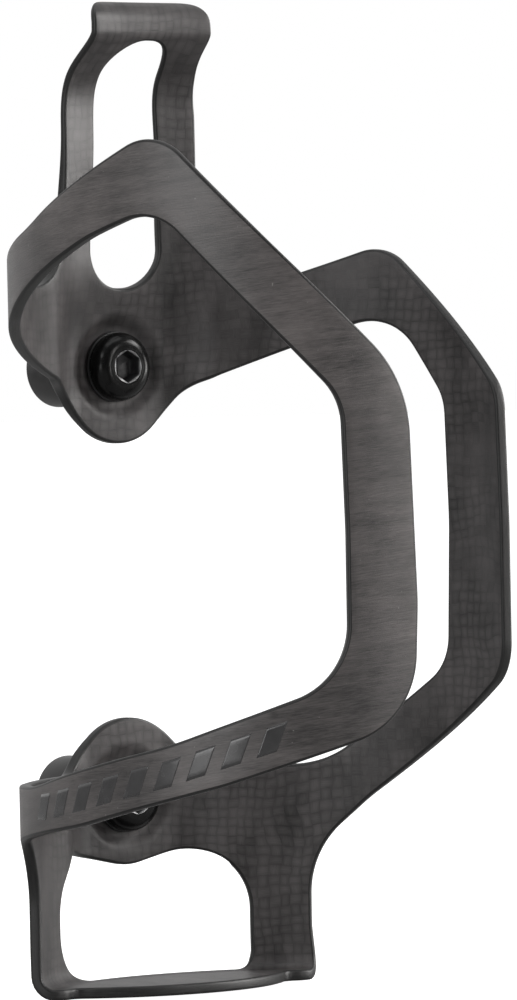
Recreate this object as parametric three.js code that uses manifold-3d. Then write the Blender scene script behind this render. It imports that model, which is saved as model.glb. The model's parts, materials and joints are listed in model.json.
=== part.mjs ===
// Side-entry water bottle cage: one moulded carbon sheet shell that wraps a bottle, two threaded
// standoffs behind it, and two button-head bolts with flat washers that clamp it.
//
// Units are millimetres, +Z is up along the bottle, +X is to the right seen from the bottle side and
// +Y points back to the bicycle frame. The origin is the centre of the lower standoff's rear face.
//
// The shell is drawn as a flat pattern and then wrapped. A flat point is (angle, height): the angle
// in degrees round the bottle's axis, 0 at the back and positive towards +X, and the height along
// the bottle, which runs on past the vertical part of the sheet into the hook's curl at the top and
// into the shelf at the bottom.

import * as THREE from 'three';
import Module from 'manifold-3d';
import { mergeVertices } from 'three/addons/utils/BufferGeometryUtils.js';

const wasm = await Module();
wasm.setup();

// ---- Driving dimensions -------------------------------------------------------------------------

const BOLT_SPACING = 64;
const CAGE_RADIUS = 36.9; // inner face of the sheet, round a bottle 73 to 74 mm across
const SHEET = 1.7;
const HOOK_SHEET = 1.05;
const SHELF_SHEET = 1.6;
const NODE_GAP = 0.3; // clearance between neighbouring zones of the shell
const FIT_GAP = 0.1; // clearance between stacked fastener faces

const SEAT_Y = 39.4; // the flat trough the bolts sit in, from the bottle's axis
const TROUGH_FLAT_ANGLE = 9;
const TROUGH_EDGE_ANGLE = 24;

const NOSE_Y = 28.9; // how near the hook's nose comes to the bottle's axis
const NOSE_CROWN = 0.0066; // how fast the nose falls back to the sides, per mm
const LEAN_START = 98;
const LEAN_END = 113.2;
const LEAN_EASE = 2.3; // above 1 the lean starts slowly and ends in a quick bend
const CURL_START = 114.2;
const CURL_RADIUS = 3.5;
const HOOK_TOP = CURL_START + (CURL_RADIUS * Math.PI) / 2;

const BEND_START = -24.5;
const BEND_RADIUS = 2.0;
const BEND_END = BEND_START - (BEND_RADIUS * Math.PI) / 2;
const SHELF_ARC_RADIUS = 28;
const SHELF_ARC_CENTRE_Y = 47;
const SHELF_END_HEIGHT = -28.7;
const SHELF_ARC_ANGLE = 35.8;

const STANDOFF_REAR_Y = 55;
const STANDOFF_RADIUS = 5.8;
const STANDOFF_BORE = 2.6;
const STANDOFF_CHAMFER = 0.4;
const COUNTERBORE_RADIUS = 5.6;
const COUNTERBORE_DEPTH = 1;
const BOLT_HOLE_RADIUS = 2.8;

const WASHER = { outer: 5.25, inner: 2.65, thickness: 0.7 };
const BOLT = { head: 5.1, rim: 0.5, land: 2.8, height: 2.8, shank: 2.45, length: 12, tip: 0.5 };
const SOCKET = { acrossFlats: 4, depth: 2.3 };

const ROUND_SIDES = 32;
const MM_PER_DEGREE = THREE.MathUtils.degToRad(CAGE_RADIUS + SHEET / 2);

// Corners of the flat pattern: [angle, height, corner radius].
const STRUT_ANGLE = 42;
const OUTER_LEFT = [
  [-16.6, HOOK_TOP, 5], [-17, 110.5, 14], [-18, 107, 12], [-18.3, 101, 14],
  [-18.5, 73.3, 9], [-78, 83.9, 30], [-117.6, 96.9, 7.4], [-171.2, 60.8, 19],
  [-172.5, 30, 40], [-171.3, 13.5, 13], [-130, 4.9, 60], [-94, -0.9, 60],
  [-STRUT_ANGLE, -5.6, 10], [-STRUT_ANGLE - 0.3, -20, 20], [-STRUT_ANGLE - 0.6, SHELF_END_HEIGHT, 3],
];
const OUTER_RIGHT = [
  [STRUT_ANGLE + 1.2, SHELF_END_HEIGHT, 5], [STRUT_ANGLE, -20, 20], [STRUT_ANGLE + 0.2, -9, 14],
  [56.2, -1, 30], [97.8, 18.2, 8], [98, 40, 60], [97, 59.2, 7], [62.9, 81.5, 6.5],
  [19.1, 72.8, 12], [19, 101, 14], [18.2, 106.5, 12], [16.8, 110.5, 14], [16.1, HOOK_TOP, 5],
];
const OPENING = [
  [0.5, 47.9, 8.4], [16.4, 60.8, 8], [64.2, 71.7, 9], [78.3, 58.2, 7], [79.1, 40, 60],
  [77.9, 19, 8], [45.5, 4, 15], [16.9, 4.3, 6], [1.6, 16.4, 9.2], [-16.4, 4, 5],
  [-46, 3.8, 40], [-74, 4.2, 40], [-118, 10.7, 60], [-156.6, 19.5, 11], [-156.8, 40, 60],
  [-156.2, 58.5, 9], [-117.3, 85.6, 7.5], [-100, 81.8, 40], [-62, 71, 40], [-15.9, 60.5, 8],
];
const HOOK_SLOT = [[-8.7, 75.5, 5.8], [10.5, 75.5, 6], [8.2, 111.7, 5], [-7.9, 111.7, 5]];
const WINDOW = [
  [-28.2, -26.5, 7.5], [28, -26.4, 2.8], [28, -5.8, 9], [0, -10.3, 9],
  [-20.5, -7.2, 4], [-28.2, -14, 9],
];

// ---- The sheet's surface ------------------------------------------------------------------------

function smoothstep(start, end, value) {
  return THREE.MathUtils.smoothstep(value, start, end);
}

/** How much of the bolt trough's depth is present, 0 to 1: it fades out at the slot and window. */
function troughShare(angle, height) {
  const across = 1 - smoothstep(TROUGH_FLAT_ANGLE, TROUGH_EDGE_ANGLE, Math.abs(angle));
  const up = 1 - 0.65 * smoothstep(66, 80, height) - 0.35 * smoothstep(80, 98, height);
  const down = smoothstep(-20, -12, height);
  return across * up * down;
}

/** Radius of the sheet's inner face, before the hook leans: the cylinder plus the bolt trough. */
function wallRadius(angle, height) {
  const seatRadius = SEAT_Y / Math.cos(THREE.MathUtils.degToRad(angle));
  const share = Math.abs(angle) < 60 ? troughShare(angle, height) : 0;
  return CAGE_RADIUS + (seatRadius - CAGE_RADIUS) * share;
}

/** Distance inwards and downwards along the bend and the shelf, below the vertical wall. */
function shelfProfile(height) {
  if (height >= BEND_START) return { inset: 0, z: height };
  const turn = Math.min((BEND_START - height) / BEND_RADIUS, Math.PI / 2);
  const flat = Math.max(BEND_END - height, 0);
  return {
    inset: BEND_RADIUS * (1 - Math.cos(turn)) + flat,
    z: BEND_START - BEND_RADIUS * Math.sin(turn),
  };
}

/** The sheet's inner face at a flat point, in the bottle's frame. */
function innerFace(angle, height) {
  const turn = THREE.MathUtils.degToRad(angle);
  const { inset, z } = shelfProfile(height);
  const radius = wallRadius(angle, height) - inset;
  const point = new THREE.Vector3(radius * Math.sin(turn), radius * Math.cos(turn), z);
  if (height > LEAN_START) {
    const nose = NOSE_Y - NOSE_CROWN * point.x ** 2;
    const rise = Math.min((height - LEAN_START) / (LEAN_END - LEAN_START), 1);
    point.y = THREE.MathUtils.lerp(point.y, nose, smoothstep(0, 1, rise ** LEAN_EASE));
  }
  if (height > CURL_START) {
    const curl = (height - CURL_START) / CURL_RADIUS;
    point.y += CURL_RADIUS * (1 - Math.cos(curl));
    point.z = CURL_START + CURL_RADIUS * Math.sin(curl);
  }
  return point;
}

/** Unit normal of the sheet, pointing away from the bottle. */
function outward(angle, height) {
  const step = 0.05;
  const along = innerFace(angle + step, height).sub(innerFace(angle - step, height));
  const up = innerFace(angle, height + step).sub(innerFace(angle, height - step));
  return up.cross(along).normalize();
}

/** The sheet thins out towards the hook and on the shelf. */
function sheetThickness(height) {
  const hookShare = smoothstep(84, 100, height);
  const shelfShare = 1 - smoothstep(-27, -20, height);
  return SHEET + (HOOK_SHEET - SHEET) * hookShare + (SHELF_SHEET - SHEET) * shelfShare;
}

/** Inner and outer face points at a flat point. */
function sheetPair(flat) {
  const angle = flat.x / MM_PER_DEGREE;
  const inner = innerFace(angle, flat.y);
  const outer = inner.clone().addScaledVector(outward(angle, flat.y), sheetThickness(flat.y));
  return [inner, outer];
}

// ---- The flat pattern ---------------------------------------------------------------------------

/** A closed run of flat points, in millimetres, with each corner rounded to its radius. */
function roundedOutline(corners) {
  const spots = corners.map(([angle, height]) => new THREE.Vector2(angle * MM_PER_DEGREE, height));
  const path = new THREE.Path();
  corners.forEach(([, , radius = 0], i) => {
    const spot = spots[i];
    const before = spots.at(i - 1).clone().sub(spot).normalize();
    const after = spots[(i + 1) % spots.length].clone().sub(spot).normalize();
    const half = Math.acos(THREE.MathUtils.clamp(before.dot(after), -1, 1)) / 2;
    const cut = radius / Math.tan(half);
    const start = spot.clone().addScaledVector(before, cut);
    const end = spot.clone().addScaledVector(after, cut);
    if (i === 0) path.moveTo(start.x, start.y);
    else path.lineTo(start.x, start.y);
    if (radius > 0) {
      const centre = before.clone().add(after).setLength(radius / Math.sin(half)).add(spot);
      const from = start.clone().sub(centre);
      const to = end.clone().sub(centre);
      path.absarc(centre.x, centre.y, radius, from.angle(), to.angle(), from.cross(to) < 0);
    }
  });
  path.closePath();
  const length = path.getLength();
  return path.getSpacedPoints(Math.round(length / 0.25));
}

/** Height of the shelf's front edge in the flat pattern: an arc in plan, in front of the wall. */
function shelfFront(angle) {
  const turn = THREE.MathUtils.degToRad(angle);
  const reach = SHELF_ARC_CENTRE_Y * Math.sin(turn);
  const front = SHELF_ARC_CENTRE_Y * Math.cos(turn) - Math.sqrt(SHELF_ARC_RADIUS ** 2 - reach ** 2);
  return BEND_END - (CAGE_RADIUS - BEND_RADIUS - front);
}

/** Heights where an outline crosses an angle, lowest first. */
function crossings(outline, angle) {
  const x = angle * MM_PER_DEGREE;
  const heights = [];
  outline.forEach((point, i) => {
    const next = outline[(i + 1) % outline.length];
    if ((point.x - x) * (next.x - x) < 0 || point.x === x) {
      const share = next.x === point.x ? 0 : (x - point.x) / (next.x - point.x);
      heights.push(THREE.MathUtils.lerp(point.y, next.y, share));
    }
  });
  return heights.sort((a, b) => a - b);
}

const ANGLE_WEIGHT = 8; // a stretch starts and ends at the right angle first, then the right height

/** The stretch of an outline between the points nearest two flat corners, in even steps. */
function stretch(outline, from, to, steps) {
  const nearest = ([angle, height]) => {
    const gaps = outline.map(({ x, y }) => {
      return ANGLE_WEIGHT * Math.abs(x - angle * MM_PER_DEGREE) + Math.abs(y - height);
    });
    return gaps.indexOf(Math.min(...gaps));
  };
  const count = outline.length;
  const first = nearest(from);
  const ahead = (nearest(to) - first + count) % count;
  const way = ahead < count / 2 ? 1 : -1;
  const length = way > 0 ? ahead : count - ahead;
  return Array.from({ length: steps + 1 }, (_, i) => {
    const place = Math.round((i * length) / steps);
    return outline[(first + way * place + count) % count].clone();
  });
}

// ---- Solids -------------------------------------------------------------------------------------

/** A closed geometry from points and triangles, turned so that its faces point out. */
function closedGeometry(points, triangles) {
  const volume = triangles.reduce((sum, [a, b, c]) => {
    return sum + points[a].dot(points[b].clone().cross(points[c]));
  }, 0);
  const index = triangles.flatMap(([a, b, c]) => (volume > 0 ? [a, b, c] : [a, c, b]));
  const geometry = new THREE.BufferGeometry();
  const flat = points.flatMap((point) => point.toArray());
  geometry.setAttribute('position', new THREE.Float32BufferAttribute(flat, 3));
  geometry.setIndex(index);
  return geometry;
}

/** A closed slab of the sheet between two edges of the flat pattern, which have matching points. */
function sheetBetween(edgeA, edgeB, across) {
  const points = [];
  const rows = edgeA.map((from, i) => {
    return Array.from({ length: across + 1 }, (_, j) => {
      points.push(...sheetPair(from.clone().lerp(edgeB[i], j / across)));
      return points.length - 2;
    });
  });
  const triangles = [];
  const quad = (a, b, c, d) => triangles.push([a, b, c], [a, c, d]);
  for (let i = 0; i + 1 < rows.length; i += 1) {
    const [here, next] = [rows[i], rows[i + 1]];
    for (let j = 0; j < across; j += 1) {
      quad(here[j], here[j + 1], next[j + 1], next[j]);
      quad(here[j] + 1, next[j] + 1, next[j + 1] + 1, here[j + 1] + 1);
    }
    quad(here[0], next[0], next[0] + 1, here[0] + 1);
    quad(next[across], here[across], here[across] + 1, next[across] + 1);
  }
  const last = rows.at(-1);
  for (let j = 0; j < across; j += 1) {
    quad(rows[0][j + 1], rows[0][j], rows[0][j] + 1, rows[0][j + 1] + 1);
    quad(last[j], last[j + 1], last[j + 1] + 1, last[j] + 1);
  }
  return closedGeometry(points, triangles);
}

/** A slab drawn at a list of angles, between a lower and an upper height at each one. */
function sheetOverAngles(angles, lower, upper, across) {
  const edge = (height) => angles.map((angle) => {
    return new THREE.Vector2(angle * MM_PER_DEGREE, height(angle));
  });
  return sheetBetween(edge(lower), edge(upper), across);
}

function toManifold(geometry) {
  const bare = geometry.clone();
  bare.deleteAttribute('normal');
  bare.deleteAttribute('uv');
  const merged = mergeVertices(bare, 1e-4);
  return new wasm.Manifold(new wasm.Mesh({
    numProp: 3,
    vertProperties: new Float32Array(merged.attributes.position.array),
    triVerts: new Uint32Array(merged.index.array),
  }));
}

function fromManifold(solid) {
  const { vertProperties, triVerts } = solid.getMesh();
  const geometry = new THREE.BufferGeometry();
  geometry.setAttribute('position', new THREE.BufferAttribute(vertProperties, 3));
  geometry.setIndex(new THREE.BufferAttribute(triVerts, 1));
  return geometry;
}

function cut(geometry, ...tools) {
  const solid = tools.reduce((left, tool) => left.subtract(toManifold(tool)), toManifold(geometry));
  return fromManifold(solid);
}

/** A cylinder along +Y from one depth to another, at a height on the back of the cage. */
function plug(radius, fromY, toY, height, sides = ROUND_SIDES) {
  const geometry = new THREE.CylinderGeometry(radius, radius, toY - fromY, sides);
  return geometry.translate(0, (fromY + toY) / 2, height);
}

/** A turned piece from a closed profile of [radius, y] points, its axis along Y. */
function turned(profile) {
  const outline = [...profile, profile[0]].map(([radius, y]) => new THREE.Vector2(radius, y));
  return new THREE.LatheGeometry(outline, ROUND_SIDES);
}

// ---- Materials ----------------------------------------------------------------------------------

const carbon = new THREE.MeshStandardMaterial({ color: 0x3c3a3b, roughness: 0.5, metalness: 0.1 });
const blackSteel = new THREE.MeshStandardMaterial({ color: 0x121214, roughness: 0.35, metalness: 0.7 });
const boss = new THREE.MeshStandardMaterial({ color: 0x2b2b2d, roughness: 0.45, metalness: 0.5 });

const cage = new THREE.Group();
const bottleFrame = new THREE.Group();
bottleFrame.position.y = -STANDOFF_REAR_Y;
cage.add(bottleFrame);

function addPiece(name, geometry, material, z = 0) {
  const mesh = new THREE.Mesh(geometry, material);
  mesh.name = name;
  mesh.position.z = z;
  bottleFrame.add(mesh);
}

// ---- The shell ----------------------------------------------------------------------------------

const frontEdge = [-35.8, -34, -30, -24, -16, -8, 0, 8, 16, 24, 30, 34, 35.8];
const outer = roundedOutline([
  ...OUTER_LEFT,
  ...frontEdge.map((angle) => [angle, shelfFront(angle), 0]),
  ...OUTER_RIGHT,
]);
const opening = roundedOutline(OPENING);
const slot = roundedOutline(HOOK_SLOT);
const windowHole = roundedOutline(WINDOW);

const PLATE_ANGLE = 46;
const PLATE_GAP = 0.7; // degrees left free between the plates and the arms
const LEG_FOOT = 88;
const LEG_TOP = 109;
const STRUT_TOP = -13;
const SLOT_SIDES = { left: -8.5, right: 9.8 };
const WINDOW_SIDE = 28;

/** Both edges of one arm, cut into its upper, bar and lower zones with a small gap between them. */
function armZones(outerEnds, innerEnds, steps, cuts) {
  const edges = [stretch(outer, ...outerEnds, steps), stretch(opening, ...innerEnds, steps)];
  const stops = [0, ...cuts, steps];
  return stops.slice(1).map((stop, i) => edges.map((edge) => {
    const zone = edge.slice(stops[i], stop + 1).map((point) => point.clone());
    const shift = zone[1].clone().sub(zone[0]).setLength(i > 0 ? NODE_GAP : 0);
    zone[0].add(shift);
    return zone;
  }));
}

function addArm(side, outerEnds, innerEnds, steps, cuts) {
  const zones = armZones(outerEnds, innerEnds, steps, cuts);
  ['upper', 'bar', 'lower'].forEach((name, i) => {
    addPiece(`${side}_arm_${name}`, sheetBetween(...zones[i], 3), carbon);
  });
}

function addHook() {
  const lipAngles = mirrored([0, 3, 6, 7.5, 8.4, 9.4, 12, 14, 15.3, 16.1, 16.8]);
  const under = (angle) => Math.max(LEG_TOP, ...crossings(slot, angle).slice(1));
  const over = (angle) => Math.min(HOOK_TOP, crossings(outer, angle).at(-1));
  addPiece('hook_lip', sheetOverAngles(lipAngles, under, over, 8), carbon);
  const heights = [LEG_FOOT, 93, 98, 101, 103.5, 105.5, 107.2, LEG_TOP - NODE_GAP];
  const legs = [['left', -1, 8.4, 8, 18.3], ['right', 1, 9.7, 8.4, 19]];
  legs.forEach(([side, sign, slotFoot, slotTop, width]) => {
    const edge = (angleAt) => heights.map((height) => {
      return new THREE.Vector2(sign * angleAt(height) * MM_PER_DEGREE, height);
    });
    const slotSide = (height) => {
      return THREE.MathUtils.mapLinear(height, LEG_FOOT, LEG_TOP, slotFoot, slotTop);
    };
    const legSide = (height) => width - 1.5 * smoothstep(99, 112, height);
    addPiece(`hook_leg_${side}`, sheetBetween(edge(slotSide), edge(legSide), 2), carbon);
  });
}

function addUpperPlate() {
  const slotAngles = Object.values(SLOT_SIDES).flatMap((side) => [side - 0.3, side + 0.3]);
  const evenly = mirrored([0, 2.5, 5, 7, 12, 15, 18.5, 19.2, 21, 25, 31, 38, PLATE_ANGLE - PLATE_GAP]);
  const angles = [...evenly, ...slotAngles].sort((a, b) => a - b);
  const under = (angle) => crossings(opening, angle).at(-1);
  const over = (angle) => {
    if (angle > SLOT_SIDES.left && angle < SLOT_SIDES.right) return crossings(slot, angle)[0];
    return Math.min(LEG_FOOT - NODE_GAP, crossings(outer, angle).at(-1));
  };
  const plate = sheetOverAngles(angles, under, over, 5);
  addPiece('upper_back_plate', drilled(plate, BOLT_SPACING), carbon);
}

function addLowerPlate() {
  const half = [0, 2.5, 5, 7.5, 10, 13, 16, 20, 24, 26.5, WINDOW_SIDE - 0.3, WINDOW_SIDE, 34, 39];
  const angles = mirrored([...half, STRUT_ANGLE, 43, 44.5, PLATE_ANGLE - PLATE_GAP]);
  const over = (angle) => crossings(opening, angle)[0];
  const under = (angle) => {
    if (Math.abs(angle) < WINDOW_SIDE) return crossings(windowHole, angle).at(-1);
    if (Math.abs(angle) <= STRUT_ANGLE) return STRUT_TOP;
    return crossings(outer, angle).filter((height) => height < 2 && height > STRUT_TOP).at(-1);
  };
  const plate = sheetOverAngles(angles, under, over, 4);
  addPiece('lower_back_plate', drilled(plate, 0), carbon);
}

function addStruts() {
  const heights = [STRUT_TOP - NODE_GAP, -18, -22, BEND_START + NODE_GAP];
  [['left', -1], ['right', 1]].forEach(([side, sign]) => {
    const edge = (angle) => heights.map((height) => {
      return new THREE.Vector2(sign * angle * MM_PER_DEGREE, height);
    });
    const strut = sheetBetween(edge(WINDOW_SIDE), edge(STRUT_ANGLE), 3);
    addPiece(`${side}_strut`, strut, carbon);
  });
}

function addShelf() {
  const half = [0, 6, 12, 18, 21, 23, 25, 27, WINDOW_SIDE, 31, 33.5, SHELF_ARC_ANGLE, 38, 40];
  const over = (angle) => {
    if (Math.abs(angle) >= WINDOW_SIDE) return BEND_START;
    return Math.min(crossings(windowHole, angle)[0], BEND_START);
  };
  const under = (angle) => {
    if (Math.abs(angle) > SHELF_ARC_ANGLE) return SHELF_END_HEIGHT;
    return Math.min(shelfFront(angle), SHELF_END_HEIGHT);
  };
  addPiece('bottom_shelf', sheetOverAngles(mirrored([...half, STRUT_ANGLE]), under, over, 9), carbon);
}

/** A symmetric list of angles from the half that starts at 0. */
function mirrored(half) {
  return [...half.slice(1).map((angle) => -angle).reverse(), ...half];
}

/** A back plate with its bolt hole and the counterbore that the washer sits in. */
function drilled(plate, height) {
  const hole = plug(BOLT_HOLE_RADIUS, SEAT_Y - 5, SEAT_Y + 5, height);
  const counterbore = plug(COUNTERBORE_RADIUS, SEAT_Y - 5, SEAT_Y + COUNTERBORE_DEPTH, height);
  return cut(plate, hole, counterbore);
}

// ---- Fasteners ----------------------------------------------------------------------------------

const standoffFrontY = SEAT_Y + SHEET + FIT_GAP;
const washerRearY = SEAT_Y + COUNTERBORE_DEPTH - FIT_GAP;
const washerFrontY = washerRearY - WASHER.thickness;
const headRearY = washerFrontY - FIT_GAP;

function standoff() {
  const chamferY = STANDOFF_REAR_Y - STANDOFF_CHAMFER;
  return turned([
    [STANDOFF_BORE, standoffFrontY], [STANDOFF_RADIUS, standoffFrontY],
    [STANDOFF_RADIUS, chamferY], [STANDOFF_RADIUS - STANDOFF_CHAMFER, STANDOFF_REAR_Y],
    [STANDOFF_BORE, STANDOFF_REAR_Y],
  ]);
}

function washer() {
  return turned([
    [WASHER.inner, washerFrontY], [WASHER.outer, washerFrontY],
    [WASHER.outer, washerRearY], [WASHER.inner, washerRearY],
  ]);
}

/** The domed head is a quarter ellipse from its rim to the flat land round the hexagon socket. */
function bolt() {
  const { head, rim, land, height, shank, length, tip } = BOLT;
  const topY = headRearY - height;
  const dome = [0.2, 0.4, 0.6, 0.8].map((share) => {
    const turn = (share * Math.PI) / 2;
    return [land + (head - land) * Math.cos(turn), headRearY - rim - (height - rim) * Math.sin(turn)];
  });
  const endY = headRearY + length;
  const blank = turned([
    [0, topY], [land, topY], ...dome.reverse(), [head, headRearY - rim], [head, headRearY],
    [shank, headRearY], [shank, endY - tip], [shank - tip, endY], [0, endY],
  ]);
  const socketRadius = SOCKET.acrossFlats / 2 / Math.cos(Math.PI / 6);
  return cut(blank, plug(socketRadius, topY - 1, topY + SOCKET.depth, 0, 6));
}

function addFasteners() {
  [['lower', 0], ['upper', BOLT_SPACING]].forEach(([end, z]) => {
    addPiece(`${end}_standoff`, standoff(), boss, z);
    addPiece(`${end}_washer`, washer(), blackSteel, z);
    addPiece(`${end}_bolt`, bolt(), blackSteel, z);
  });
}

addHook();
addUpperPlate();
addArm('left', [[-PLATE_ANGLE, 78.5], [-PLATE_ANGLE, -5]], [[-PLATE_ANGLE, 67.5], [-PLATE_ANGLE, 4.2]],
  60, [26, 40]);
addArm('right', [[PLATE_ANGLE, 78], [PLATE_ANGLE, -6]], [[PLATE_ANGLE, 68], [PLATE_ANGLE, 4.7]],
  40, [16, 27]);
addLowerPlate();
addStruts();
addShelf();
addFasteners();

export default cage;
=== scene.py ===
"""Looks of a side-entry water bottle cage: one carbon shell, two bolts, washers and standoffs.

The shell is drawn as a flat pattern and wrapped, as in the CAD model. A pattern corner is (angle,
height): the angle round the bottle's axis in degrees, 0 at the back and positive towards +X, and the
height along the bottle, which runs on into the hook's curl at the top and the shelf at the bottom.
A flat point has the angle turned into millimetres round the wall, so that the pattern is to scale.
Shapes are worked out in millimetres from the bottle's axis, and meshes are made in metres.
"""

import json
import math

import bmesh
import bpy
import numpy as np
from mathutils import Matrix, Vector
from mathutils.geometry import delaunay_2d_cdt


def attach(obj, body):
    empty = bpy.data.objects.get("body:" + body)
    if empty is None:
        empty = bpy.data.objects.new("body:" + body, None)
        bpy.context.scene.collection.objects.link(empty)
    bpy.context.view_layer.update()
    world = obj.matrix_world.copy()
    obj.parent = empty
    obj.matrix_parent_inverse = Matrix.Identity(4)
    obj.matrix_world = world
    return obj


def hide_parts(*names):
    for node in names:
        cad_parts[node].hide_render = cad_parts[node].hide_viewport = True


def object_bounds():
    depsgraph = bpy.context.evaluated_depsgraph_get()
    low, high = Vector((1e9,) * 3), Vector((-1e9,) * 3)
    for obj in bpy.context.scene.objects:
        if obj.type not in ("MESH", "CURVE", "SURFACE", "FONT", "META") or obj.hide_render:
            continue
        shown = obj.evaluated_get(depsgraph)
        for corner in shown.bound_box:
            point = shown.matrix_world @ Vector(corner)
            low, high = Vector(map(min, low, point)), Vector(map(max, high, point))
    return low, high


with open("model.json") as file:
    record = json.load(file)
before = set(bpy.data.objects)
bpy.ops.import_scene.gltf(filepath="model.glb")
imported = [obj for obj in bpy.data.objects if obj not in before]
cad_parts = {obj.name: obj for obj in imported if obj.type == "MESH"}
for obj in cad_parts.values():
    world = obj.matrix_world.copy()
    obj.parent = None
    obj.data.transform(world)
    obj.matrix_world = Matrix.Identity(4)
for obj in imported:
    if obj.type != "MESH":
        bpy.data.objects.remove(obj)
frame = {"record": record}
cad_box = [list(corner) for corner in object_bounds()]

# ---- Sizes, in millimetres ----------------------------------------------------------------------

BOLT_HEIGHTS = {"lower": 0.0, "upper": 64.0}
CAGE_RADIUS = 36.9  # the wall's inner face, from the bottle's axis
SHEET = 1.7  # the wall's thickness, then the hook's and the shelf's
HOOK_SHEET = 1.05
SHELF_SHEET = 1.6
STANDOFF_REAR_Y = 55.0  # the bicycle frame's face

# The trough: a flat seat for the bolts, which blends into the round wall between two angles.
SEAT_Y = 39.4
TROUGH_FLAT_ANGLE = 9.0
TROUGH_EDGE_ANGLE = 24.0
TROUGH_FOOT = (-20, -12)  # heights between which it begins
TROUGH_FADES = [(66, 80, 0.65), (80, 98, 0.35)]  # from height, to height, share of the depth lost
DIMPLE_DEPTH = 1.0
DIMPLE_FLOOR_RADIUS = 5.6
DIMPLE_EDGE_RADIUS = 8.2
BOLT_HOLE_RADIUS = 2.8

# Heights between which the sheet's thickness changes, below the hook and above the shelf.
HOOK_THINNING = (84, 100)
SHELF_THINNING = (-27, -20)

# The hook leans in over the bottle up to a crowned nose, and its lip curls back out.
NOSE_Y = 28.9
NOSE_CROWN = 0.0066  # times the distance from the middle squared
LEAN_START, LEAN_END, LEAN_EASE = 98.0, 113.2, 2.3
CURL_START, CURL_RADIUS = 114.2, 3.5
HOOK_TOP = CURL_START + CURL_RADIUS * math.pi / 2

# The wall bends in to the shelf, whose front edge is an arc in plan.
BEND_START, BEND_RADIUS = -24.5, 2.0
BEND_END = BEND_START - BEND_RADIUS * math.pi / 2
SHELF_ARC_RADIUS = 28.0
SHELF_ARC_CENTRE_Y = 47.0
SHELF_ARC_ANGLE = 35.8
SHELF_END_HEIGHT = -28.7
FOOT_RADIUS = 2.0  # of the corner between the shelf's front and a strut's foot
FOOT_ANGLE = 1.2  # from that corner to the first point of the shelf's arc

MM_PER_DEGREE = math.radians(CAGE_RADIUS + SHEET / 2)
EDGE_RADIUS = 0.42  # of the rounded cut edges

# Corners of the flat pattern: (angle, height, corner radius).
OUTER_LEFT = [
    (-16.6, HOOK_TOP, 5), (-17, 110.5, 14), (-18, 107, 12), (-18.3, 101, 14),
    (-18.5, 73.3, 9), (-78, 83.9, 30), (-117.6, 96.9, 7.4), (-171.2, 60.8, 19),
    (-172.5, 30, 40), (-171.3, 13.5, 13), (-130, 4.9, 60), (-94, -0.9, 60), (-42, -5.6, 10),
    (-42.3, -20, 20), (-42.6, SHELF_END_HEIGHT, 3),
]
OUTER_RIGHT = [
    (43.2, SHELF_END_HEIGHT, 3.4), (42, -20, 20), (42.2, -9, 14), (56.2, -1, 30),
    (97.8, 18.2, 8), (98, 40, 60), (97, 59.2, 7), (62.9, 81.5, 6.5), (19.1, 72.8, 12),
    (19, 101, 14), (18.2, 106.5, 12), (16.8, 110.5, 14), (16.1, HOOK_TOP, 5),
]
OPENING = [
    (0.5, 47.9, 8.4), (16.4, 60.8, 8), (64.2, 71.7, 9), (78.3, 58.2, 7), (79.1, 40, 60),
    (77.9, 19, 8), (45.5, 4, 15), (16.9, 4.3, 6), (1.6, 16.4, 9.2), (-16.4, 4, 5),
    (-46, 3.8, 40), (-74, 4.2, 40), (-118, 10.7, 60), (-156.6, 19.5, 11), (-156.8, 40, 60),
    (-156.2, 58.5, 9), (-117.3, 85.6, 7.5), (-100, 81.8, 40), (-62, 71, 40), (-15.9, 60.5, 8),
]
HOOK_SLOT = [(-8.7, 75.5, 5.8), (10.5, 75.5, 6), (8.2, 111.7, 5), (-7.9, 111.7, 5)]
WINDOW = [
    (-28.2, -26.5, 7.5), (28, -26.4, 2.8), (28, -5.8, 9), (0, -10.3, 9),
    (-20.5, -7.2, 4), (-28.2, -14, 9),
]

WASHER_OUTER, WASHER_INNER, WASHER_THICKNESS, WASHER_BEVEL = 5.25, 2.65, 0.7, 0.1
FIT_GAP = 0.1
HEAD_RADIUS, HEAD_HEIGHT = 5.1, 2.8
HEAD_RIM, LAND_RADIUS, CHAMFER_RADIUS, HEAD_BEVEL = 0.5, 2.8, 2.62, 0.12
SOCKET_FLATS, SOCKET_DEPTH, SOCKET_POINT = 4.0, 2.3, 0.5
SHANK_RADIUS, THREAD_ROOT, THREAD_PITCH, SHANK_LENGTH = 2.45, 2.05, 0.8, 12.0
PLAIN_SHANK, THREAD_RUN_IN, TIP_LENGTH, TIP_TAPER = 0.9, 0.8, 0.7, 0.75
STANDOFF_RADIUS, STANDOFF_BORE, STANDOFF_CHAMFER, STANDOFF_BEVEL = 5.8, 2.6, 0.4, 0.15

# The plain print on the near band: slanted bars along a path of (angle, height).
MARK_PATH = [(-145, 12.4), (-118, 6.8), (-95, 3.3), (-80, 1.5)]
MARK_START, MARK_PITCH, MARK_WIDTH, MARK_COUNT = -143.5, 7.6, 4.3, 9
MARK_HEIGHT, MARK_SLANT = 3.7, 2.4
MARK_LIFT, MARK_RIM_SHARE, MARK_ROOT = 0.05, 0.3, 0.1

# How finely the meshes are made.
OUTLINE_STEP, ARC_STEP = 0.45, 0.3
FILL_STEP, FINE_STEP = 0.9, 0.4
FILL_ROWS = [
    (-50, -28, FILL_STEP), (-28, -23, FINE_STEP), (-23, 100, FILL_STEP), (100, 121, FINE_STEP),
]
FILL_COLUMNS = (-118, 72, FILL_STEP)
RING_STEP, RING_MARGIN, RING_GAP = 0.45, 1.2, 0.3
SHELF_POINTS, HOLE_POINTS, ROUND_POINTS = 41, 48, 96
EDGE_RINGS, DOME_RINGS = 5, 14
MARK_COLUMNS, MARK_ROWS = 24, 8

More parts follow.
